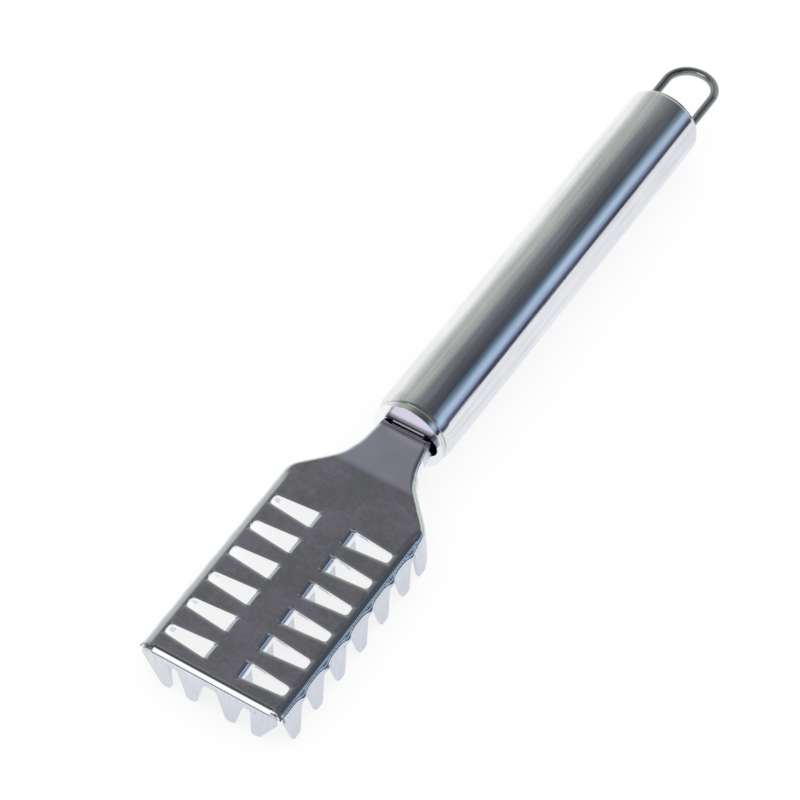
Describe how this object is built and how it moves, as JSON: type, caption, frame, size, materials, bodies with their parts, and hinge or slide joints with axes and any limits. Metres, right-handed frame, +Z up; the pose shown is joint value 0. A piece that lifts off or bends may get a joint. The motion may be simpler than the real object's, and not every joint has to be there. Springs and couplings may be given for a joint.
{
  "type": "fish scaler",
  "caption": "Fish scaler with a toothed tray-shaped steel head, its windows' tongues folded down as inner teeth, on a hollow round handle with a wire hanging loop.",
  "frame": {"origin": "centre of the bounding box's bottom face, on the surface that the tool lies on", "axes": "+Y runs from the head's front teeth to the hanging loop, +Z up from the teeth to the plate, X across the head"},
  "size_m": [0.0394, 0.2214, 0.0207],
  "materials": {
    "head_steel": "tumbled satin",
    "handle_steel": "polished",
    "plug_steel": "polished",
    "cap_steel": "polished",
    "wire_steel": "polished wire"
  },
  "bodies": {
    "root": {"scaler_head": "head_steel", "handle_tube": "handle_steel", "front_plug": "plug_steel", "rear_cap": "cap_steel", "hanging_loop": "wire_steel"}
  },
  "joints": []
}
